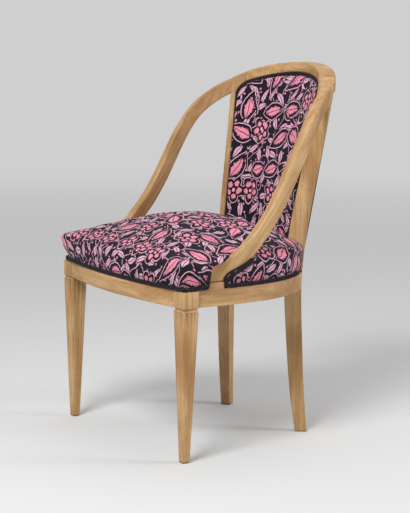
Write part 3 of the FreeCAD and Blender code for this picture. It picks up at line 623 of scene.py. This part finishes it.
    # Inks in the order of printing, each where its value lies between two limits
    colour = ground
    for value, low, high, ink in ((slow, 0.486, 0.514, mauve), (dot_reach, -1, 0.0048, ground),
                                  (dot_reach, -1, 0.0026, pink), (sprig_edge, -1, 0.0018, ground),
                                  (sprig_edge, -1, -0.0002, mauve), (sprig_aside, -1, 0.0008, ground),
                                  (edge, -1, 0.0068, ground), (edge, 0.0022, 0.0046, mauve),
                                  (ragged, -1, 0.0002, pink), (rib, -1, 0.0009, ground),
                                  (cleft, -1, 0.0165, ground), (eye, -1, 0.0062, ground),
                                  (eye, -1, 0.0042, mauve)):
        above = add_node(material, "Math", {"operation": "GREATER_THAN"}, {0: value, 1: low})[0]
        below = add_node(material, "Math", {"operation": "LESS_THAN"}, {0: value, 1: high})[0]
        printed = add_node(material, "Math", {"operation": "MULTIPLY"}, {0: above, 1: below})[0]
        colour = add_node(material, "Mix", {"data_type": "RGBA"},
                          {"Factor": printed, "A": colour, "B": ink})["Result"]
    threads = []
    for axis in ("X", "Y"):
        wave = {"Vector": cloth, "Scale": math.pi / 10 / 0.0011, "Distortion": 0.4}
        threads.append(add_node(material, "TexWave", {"bands_direction": axis}, wave)["Fac"])
    weave = add_node(material, "Math", {"operation": "ADD"}, {0: threads[0], 1: threads[1]})[0]
    shade = add_node(material, "MapRange", {}, {"Value": weave, "From Max": 2, "To Min": 0.84, "To Max": 1.06})[0]
    colour = add_node(material, "Mix", {"data_type": "RGBA", "blend_type": "MULTIPLY"},
                      {"Factor": 1, "A": colour, "B": shade})["Result"]
    bump = add_node(material, "Bump", {}, {"Height": weave, "Strength": 0.25, "Distance": 0.0003})[0]
    shader = add_node(material, "BsdfPrincipled", {}, {"Base Color": colour, "Roughness": 0.85, "Normal": bump,
                                                       "Specular IOR Level": 0.2, "Sheen Weight": 0.03})[0]
    return finish_material(material, shader)


cotton = printed_cotton()
seat_pad.data.materials.clear()
seat_pad.data.materials.append(cotton)
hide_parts("seat_cover", "seat_stuffing", "seat_hessian")
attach(seat_pad, "root")


# Inside back
# A shallow stuffed pad in the hollow of the back, covered in the same printed cotton.
# The cover is tacked into a rebate of the stiles and the crest, and to the lower back rail.
STILE_LEVELS = (0.440, 0.797)
BACK_LOW = 0.392
INSIDE_MIDDLE = (0.163, 0.235)
INSIDE_RADIUS = (0.196, 0.225)
INSIDE_SIDE = (0.1270, 0.1584)
CREST_RADIUS = 0.2084
CREST_DROP = 0.026
CREST_TURN = math.asin(0.1375 / CREST_RADIUS)
PANEL_TOP = 0.808
CROWN_RADIUS = 0.260
BACK_CROWN = (0.010, 0.024)
CROWN_LEVELS = (0.380, 0.815)
BACK_SWELL = 0.003
BACK_TACKED = 0.003
BED_DEPTH = 0.0005
PANEL_ROUND = 0.018
GIMP_WIDE = 0.010
BACK_SPOKES = 240


def along_stile(ends, z):
    share = (z - STILE_LEVELS[0]) / (STILE_LEVELS[1] - STILE_LEVELS[0])
    return ends[0] + (ends[1] - ends[0]) * share


def hollow(middles, radii, x, z):
    # Depth of the hollow face of the back at a place across and up
    radius = along_stile(radii, z)
    return along_stile(middles, z) - radius + math.sqrt(radius ** 2 - x ** 2)


def panel_outline(sides, low, inset, round_by, count):
    # Outline of a panel of the back seen from the front, from the lower left, with its upper corners rounded
    def top(x):
        return PANEL_TOP - inset - CREST_DROP * (math.asin(x / CREST_RADIUS) / CREST_TURN) ** 2

    corner = top(along_stile(sides, STILE_LEVELS[1]))
    upper = Vector((along_stile(sides, corner) - inset, corner))
    lower = Vector((along_stile(sides, low) - inset, low))
    stile = (upper - lower).normalized()
    half = [Vector((lower.x * k / 20, low)) for k in range(20)]
    half += [lower.lerp(upper - stile * round_by, k / 40) for k in range(41)]
    crest_start = Vector((upper.x - round_by, top(upper.x - round_by)))
    rise = upper - stile * round_by
    for k in range(1, 10):
        t = k / 10
        half.append(rise * (1 - t) ** 2 + upper * 2 * t * (1 - t) + crest_start * t ** 2)
    half += [Vector((crest_start.x * (1 - k / 20), top(crest_start.x * (1 - k / 20)))) for k in range(21)]
    other = [Vector((-p.x, p.y)) for p in half[-2:0:-1]]
    return spaced(half + other, count, True)


def back_crown(x, z):
    # Depth of the crowned front of the pad
    low, high = CROWN_LEVELS
    swell = 1 - ((z - (low + high) / 2) / ((high - low) / 2)) ** 2
    ahead = BACK_CROWN[0] + (BACK_CROWN[1] - BACK_CROWN[0]) * swell
    return along_stile(INSIDE_MIDDLE, z) - ahead - CROWN_RADIUS + math.sqrt(CROWN_RADIUS ** 2 - x ** 2)


BACK_MIDDLE = Vector((0, 0.6))
BACK_PROFILE = [(0.97, 0), (1, 0), (1.003, 0.45), (0.994, 0.8), (0.968, 0.96), (0.9, 1), (0.75, 1), (0.55, 1),
                (0.35, 1), (0.17, 1)]
back_outline = panel_outline(INSIDE_SIDE, BACK_LOW, GIMP_WIDE * 0.8, PANEL_ROUND, BACK_SPOKES)
back_rings = []
back_cloth = []
for share, forward in fair(BACK_PROFILE, 3):
    ring = []
    flat = []
    for p in back_outline:
        x, z = BACK_MIDDLE + (p - BACK_MIDDLE) * share
        deep = hollow(INSIDE_MIDDLE, INSIDE_RADIUS, x, z) - BED_DEPTH
        ring.append((x, deep + (back_crown(x, z) - deep) * forward, z))
        flat.append(Vector((x * 1.08, z)) + (p - BACK_MIDDLE).normalized() * 0.012 * (1 - forward))
    back_rings.append(ring)
    back_cloth.append(flat)
back_top = (0, back_crown(0, BACK_MIDDLE.y), BACK_MIDDLE.y)
back_pad = cushion("back_pad", back_rings, back_top, back_cloth, BACK_MIDDLE)
tacked = [v.index for v in back_pad.data.vertices
          if v.co.y > hollow(INSIDE_MIDDLE, INSIDE_RADIUS, v.co.x, v.co.z) - BACK_TACKED]
stuffed(back_pad, tacked, BACK_SWELL)
bpy.ops.object.shade_smooth_by_angle(angle=math.radians(60))
back_pad.data.materials.append(cotton)
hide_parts("back_cover", "back_stuffing", "back_hessian")
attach(back_pad, "root")


# Outside back
# A single width of the printed cotton stretched across the rear of the back and tacked into its rebate.
# Between the crest and the rear rail the tension draws it in a little.
OUTSIDE_MIDDLE = (0.2039, 0.265)
OUTSIDE_RADIUS = (0.2324, 0.2746)
OUTSIDE_SIDE = (0.1505, 0.1790)
OUTSIDE_LOW = 0.386
OUTSIDE_DRAWN = 0.25
DRAWN_LEVELS = (0.40, 0.750)
CLOTH_SHARES = [1 - k / 24 for k in range(24)]
COTTON_THICK = 0.0012


def outside_depth(x, z):
    # The cloth follows the curve of the rails at its top and bottom, and is drawn in between them
    middle = sum(DRAWN_LEVELS) / 2
    drawn = OUTSIDE_DRAWN * max(0, 1 - ((z - middle) / (DRAWN_LEVELS[1] - middle)) ** 2) ** 1.5
    curve = hollow(OUTSIDE_MIDDLE, OUTSIDE_RADIUS, x, z)
    chord = hollow(OUTSIDE_MIDDLE, OUTSIDE_RADIUS, along_stile(OUTSIDE_SIDE, z), z)
    return curve + (min(chord, curve) - curve) * drawn - BED_DEPTH


def stretched(piece, thickness):
    # A sheet gets its thickness away from its outer face
    bpy.ops.object.mode_set(mode="EDIT")
    bpy.ops.mesh.select_all(action="SELECT")
    bpy.ops.mesh.flip_normals()
    bpy.ops.object.mode_set(mode="OBJECT")
    cloth = piece.modifiers.new("cloth", "SOLIDIFY")
    cloth.thickness = thickness
    cloth.offset = -1
    bpy.ops.object.modifier_apply(modifier="cloth")
    bpy.ops.object.shade_smooth_by_angle(angle=math.radians(40))


outside_outline = panel_outline(OUTSIDE_SIDE, OUTSIDE_LOW, BED_DEPTH, PANEL_ROUND, BACK_SPOKES)
outside_rings = []
outside_cloth = []
for share in CLOTH_SHARES:
    ring = []
    flat = []
    for p in outside_outline:
        x, z = BACK_MIDDLE + (p - BACK_MIDDLE) * share
        ring.append((x, outside_depth(x, z), z))
        radius = along_stile(OUTSIDE_RADIUS, z)
        flat.append((0.5 - radius * math.asin(x / radius), z))
    outside_rings.append(ring)
    outside_cloth.append(flat)
middle_point = (0, outside_depth(0, BACK_MIDDLE.y), BACK_MIDDLE.y)
outside_back = cushion("outside_back", outside_rings, middle_point, outside_cloth, (0.5, BACK_MIDDLE.y), False)
stretched(outside_back, COTTON_THICK)
outside_back.data.materials.append(cotton)
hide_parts("outside_back_cover")
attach(outside_back, "root")


# Dust cover
# Thin black calico turned in at its edges and tacked under the seat rails, where it hangs a little slack.
# It keeps dust and loose hair off the floor.
DUST_LEVEL = 0.3335
DUST_SHARE = 0.948
DUST_TACKED = 0.88
DUST_SLACK = 0.004
CALICO_THICK = 0.0008

dust_rings = []
dust_cloth = []
for share in [DUST_SHARE * s for s in CLOTH_SHARES]:
    ring = []
    for p in seat_outline:
        q = SEAT_MIDDLE + (p - SEAT_MIDDLE) * share
        ring.append((*q, DUST_LEVEL - DUST_SLACK * max(0, 1 - (share / DUST_TACKED) ** 2)))
    dust_rings.append(ring)
    dust_cloth.append([Vector(p[:2]) for p in ring])
dust_middle = (*SEAT_MIDDLE, DUST_LEVEL - DUST_SLACK)
dust_cover = cushion("dust_cover", dust_rings, dust_middle, dust_cloth, SEAT_MIDDLE, False)
stretched(dust_cover, CALICO_THICK)
dust_cover.data.materials.append(jute("black_calico", 0.0012, "#2E2C2B", "#161514"))
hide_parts("seat_dust_cover")
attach(dust_cover, "root")


# Gimp
# A narrow black braid plaited from three cords, glued over the tacks along every edge of the covers.
# On the seat it turns up the front of each arm's foot, and behind the foot it follows the arm's underside.
CORD = 0.0012
PLAIT = 0.015
PLAIT_HALF = 0.0036
PLAIT_LIFT = 0.0007
CORD_STEP = 0.0014
GIMP_ROUND = 0.016
ARM_MIDDLE, ARM_REACH = -0.13, 0.1
SIDE_LEAST = 0.2


def black_cotton_cord():
    # Dyed cotton cord, twisted: charcoal black, with a slight sheen on the turns of its yarn, 1.5 mm apart
    material = new_material("black_cotton_cord")
    place = add_node(material, "TexCoord")["Object"]
    yarn = add_node(material, "TexNoise", {}, {"Vector": place, "Scale": 1 / 0.0015, "Detail": 2})[0]
    colour = add_node(material, "Mix", {"data_type": "RGBA"},
                      {"Factor": yarn, "A": linear("#0D0C0F"), "B": linear("#262429")})["Result"]
    bump = add_node(material, "Bump", {}, {"Height": yarn, "Strength": 0.5, "Distance": 0.0005})[0]
    shader = add_node(material, "BsdfPrincipled", {}, {"Base Color": colour, "Roughness": 0.75, "Normal": bump,
                                                       "Specular IOR Level": 0.25, "Sheen Weight": 0.04})[0]
    return finish_material(material, shader)


def plait(name, runs, node, material, thick=1):
    # Three cords plaited along each run; a run is a list of places with the way out of the cloth there
    curve = bpy.data.curves.new(name, "CURVE")
    curve.dimensions = "3D"
    curve.bevel_depth = CORD * thick
    curve.bevel_resolution = 1
    for places, ways, closed in runs:
        count = len(places)
        length = sum((b - a).length for a, b in zip(places, places[1:]))
        turns = max(1, round(length / PLAIT))
        for cord in range(3):
            spline = curve.splines.new("POLY")
            spline.points.add(count - 1)
            spline.use_cyclic_u = closed
            for k in range(count):
                ahead = places[(k + 1) % count] if closed or k < count - 1 else places[k]
                behind = places[k - 1] if closed or k > 0 else places[k]
                side = (ahead - behind).cross(ways[k]).normalized()
                phase = 2 * math.pi * (turns * k / (count if closed else count - 1) + cord / 3)
                at = places[k] + side * PLAIT_HALF * math.sin(phase)
                at += ways[k] * PLAIT_LIFT * thick * math.sin(2 * phase)
                spline.points[k].co = (*at, 1)
    piece = bpy.data.objects.new(name, curve)
    bpy.context.collection.objects.link(piece)
    bpy.ops.object.select_all(action="DESELECT")
    piece.select_set(True)
    bpy.context.view_layer.objects.active = piece
    bpy.ops.object.convert(target="MESH")
    piece = bpy.context.view_layer.objects.active
    bpy.ops.object.shade_smooth()
    piece.data.materials.clear()
    piece.data.materials.append(material)
    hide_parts(node)
    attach(piece, "root")


def smooth_run(points):
    # Even points along a smooth line drawn through a few places
    curve = bpy.data.curves.new("line", "CURVE")
    curve.dimensions = "3D"
    spline = curve.splines.new("NURBS")
    spline.points.add(len(points) - 1)
    for point, place in zip(spline.points, points):
        point.co = (*place, 1)
    spline.order_u = 3
    spline.use_endpoint_u = True
    spline.resolution_u = 8
    line = bpy.data.objects.new("line", curve)
    mesh = bpy.data.meshes.new_from_object(line)
    placed = [v.co.copy() for v in mesh.vertices]
    bpy.data.objects.remove(line)
    length = sum((b - a).length for a, b in zip(placed, placed[1:]))
    return spaced(placed, max(8, round(length / CORD_STEP)), False)


black_cord = black_cotton_cord()
GIMP_LEVEL = 0.3755
fine_outline = spaced(half_outline + other_half, 400, True)
side_line = [p for p in fine_outline if p.x > 0]


def edge_x(y):
    # Half width of the seat's outline at a place along its side
    nearest = min((p for p in side_line if p.x > 0.15), key=lambda p: abs(p.y - y))
    return nearest.x


def outward(p):
    way = Vector((p.x, (p.y - SEAT_MIDDLE.y) * 0.9, 0))
    if abs(p.y - ARM_MIDDLE) < ARM_REACH and abs(p.x) > SIDE_LEAST:
        way = Vector((math.copysign(1, p.x), 0.02, 0))
    return way.normalized()


def on_seat(y, z, out=0.0018):
    # Place on the side of the seat cover
    level = next(k for k in range(1, len(SEAT_PROFILE)) if SEAT_PROFILE[k][0] >= z)
    (low, low_share), (high, high_share) = SEAT_PROFILE[level - 1:level + 1]
    share = low_share + (high_share - low_share) * (z - low) / (high - low)
    swollen = seat_place(Vector((edge_x(y), y)), z, max(share, 0.992))
    return Vector((swollen.x + out, y, z))


front_half = [Vector((p.x, p.y - 0.001, GIMP_LEVEL)) for p in half_outline if p.y < ARM_FRONT - 0.014][::6]
front_half += [on_seat(ARM_FRONT - 0.0044, z) for z in (GIMP_LEVEL, GIMP_LEVEL, 0.378, 0.39, 0.402, 0.41)]
front_half += [on_seat(ARM_FRONT - 0.004, 0.414, -0.006), on_seat(ARM_FRONT - 0.003, 0.416, -0.018)]
mirrored = [Vector((-p.x, p.y, p.z)) for p in front_half[:0:-1]]
front_run = smooth_run(mirrored + front_half)
runs = [(front_run, [outward(p) for p in front_run], False)]
UNDER_ARM = [(-0.066, 0.426), (-0.0825, 0.415), (-0.111, 0.4035), (-0.1255, 0.3975), (-0.131, 0.3925),
             (-0.1345, 0.388), (-0.136, 0.382), (-0.136, GIMP_LEVEL), (-0.136, GIMP_LEVEL), (-0.130, GIMP_LEVEL)]
rear_half = [on_seat(y, z) for y, z in UNDER_ARM]
behind_arm = [p for p in half_outline if -0.125 < p.y < 0.12 and p.x > 0.1]
rear_half += [Vector((p.x + 0.001, p.y, GIMP_LEVEL)) for p in behind_arm[::6]]
for sign in (-1, 1):
    run = smooth_run([Vector((sign * p.x, p.y, p.z)) for p in rear_half])
    runs.append((run, [outward(p) for p in run], False))
plait("seat_braid", runs, "seat_gimp", black_cord)


def on_panel(outline, middles, radii, ahead):
    # Places along an outline on a hollow face of the back, and the way out of the cloth there
    places = []
    ways = []
    sign = -1 if ahead > 0 else 1
    for p in outline:
        x, z = p
        y = hollow(middles, radii, x, z) - ahead
        radius = along_stile(radii, z)
        places.append(Vector((x, y, z)))
        ways.append(Vector((sign * x / radius, sign * math.sqrt(1 - (x / radius) ** 2), -sign * 0.2)).normalized())
    return places, ways


gimp_line = panel_outline(INSIDE_SIDE, BACK_LOW, GIMP_WIDE / 2, GIMP_ROUND, 900)
upper = [p for p in gimp_line if p.y > 0.425]
first = min(range(len(upper)), key=lambda k: (upper[k].x < 0, upper[k].y))
upper = upper[first:] + upper[:first]
places, ways = on_panel(upper, INSIDE_MIDDLE, INSIDE_RADIUS, 0.0025)
plait("back_braid", [(places, ways, False)], "back_gimp", black_cord)
outside_line = panel_outline(OUTSIDE_SIDE, OUTSIDE_LOW, GIMP_WIDE / 2, GIMP_ROUND, 1100)
places, ways = on_panel(outside_line, OUTSIDE_MIDDLE, OUTSIDE_RADIUS, -0.0002)
plait("outside_back_braid", [(places, ways, True)], "outside_back_gimp", black_cord, 0.7)


# Room
# A plain pale studio floor that runs out of sight, one large soft lamp to the left of the camera,
# and weak lamps that fill the shadows.
FLOOR_HALF = 60

bpy.ops.object.select_all(action="DESELECT")
bpy.ops.mesh.primitive_plane_add(size=2 * FLOOR_HALF, location=(0, 0, -0.0002))
floor = bpy.context.object
floor.name = "studio_floor"
paper = new_material("matt_paper")
PAPER_COLOUR = linear("#E2E2E2")
BACKDROP_COLOUR = linear("#CFCFCF")
matt = add_node(paper, "BsdfPrincipled", {}, {"Base Color": PAPER_COLOUR, "Roughness": 0.95,
                                              "Specular IOR Level": 0.1})[0]
even = add_node(paper, "Emission", {}, {"Color": BACKDROP_COLOUR})[0]
place = add_node(paper, "TexCoord")["Object"]
away = add_node(paper, "VectorMath", {"operation": "LENGTH"}, {0: place})["Value"]
away = add_node(paper, "MapRange", {}, {"Value": away, "From Min": 1.0, "From Max": 5.5, "To Min": 0.15})[0]


def seen(tree):
    # 1 for what the camera sees, also in a mirror or through glass
    path = add_node(tree, "LightPath")
    share = add_node(tree, "Math", {"operation": "ADD"}, {0: path["Is Camera Ray"], 1: path["Is Glossy Ray"]})[0]
    return add_node(tree, "Math", {"operation": "ADD", "use_clamp": True},
                    {0: share, 1: path["Is Transmission Ray"]})[0]


share = add_node(paper, "Math", {"operation": "MULTIPLY"}, {0: seen(paper), 1: away})[0]
finish_material(paper, add_node(paper, "MixShader", {}, {0: share, 1: matt, 2: even})[0])
floor.data.materials.append(paper)

world = bpy.data.worlds.new("studio")
bpy.context.scene.world = world
world.use_nodes = True
world.node_tree.nodes.remove(world.node_tree.nodes["Background"])
air = add_node(world, "Background", {}, {"Color": linear("#F4F4F4"), "Strength": 0.36})[0]
backdrop = add_node(world, "Background", {}, {"Color": BACKDROP_COLOUR})[0]
both = add_node(world, "MixShader", {}, {0: seen(world), 1: air, 2: backdrop})[0]
world.node_tree.links.new(both, world.node_tree.nodes["World Output"].inputs["Surface"])

AIM = Vector((0, 0, 0.4))
for name, place, size, power in (("key", (1.25, -2.35, 3.0), 1.5, 112), ("fill", (2.1, 2.5, 1.5), 1.2, 46),
                                 ("top", (-0.6, 0.8, 3.4), 2.4, 14)):
    lamp = bpy.data.lights.new(name, "AREA")
    lamp.shape = "DISK"
    lamp.size = size
    lamp.energy = power
    lamp_object = bpy.data.objects.new(name, lamp)
    bpy.context.collection.objects.link(lamp_object)
    lamp_object.location = place
    lamp_object.rotation_euler = (AIM - Vector(place)).to_track_quat("-Z", "Y").to_euler()

# Camera at the photograph's angle
FRAME_WIDE, FRAME_HIGH = 410, 513
FOCAL_PIXELS = 1665.1
OPTICAL_MIDDLE = (202.65, 257.74)
AZIMUTH, ELEVATION, ROLL = (math.radians(a) for a in (56.0, 8.97, 0.82))
CAMERA_PLACE = (3.0864, -2.1095, 0.9801)

right = Vector((math.cos(AZIMUTH), math.sin(AZIMUTH), 0))
back = Vector((math.sin(AZIMUTH) * math.cos(ELEVATION), -math.cos(AZIMUTH) * math.cos(ELEVATION),
               math.sin(ELEVATION)))
up = back.cross(right)
across = right * math.cos(ROLL) + up * math.sin(ROLL)
upward = up * math.cos(ROLL) - right * math.sin(ROLL)
lens = bpy.data.cameras.new("camera")
lens.sensor_width = 36
lens.lens = FOCAL_PIXELS * lens.sensor_width / FRAME_HIGH
lens.shift_x = (FRAME_WIDE / 2 - OPTICAL_MIDDLE[0]) / FRAME_HIGH
lens.shift_y = (OPTICAL_MIDDLE[1] - FRAME_HIGH / 2) / FRAME_HIGH
camera = bpy.data.objects.new("camera", lens)
bpy.context.collection.objects.link(camera)
camera.matrix_world = Matrix((across, upward, back)).transposed().to_4x4()
camera.location = CAMERA_PLACE
bpy.context.scene.camera = camera
bpy.context.scene.view_settings.view_transform = "Standard"
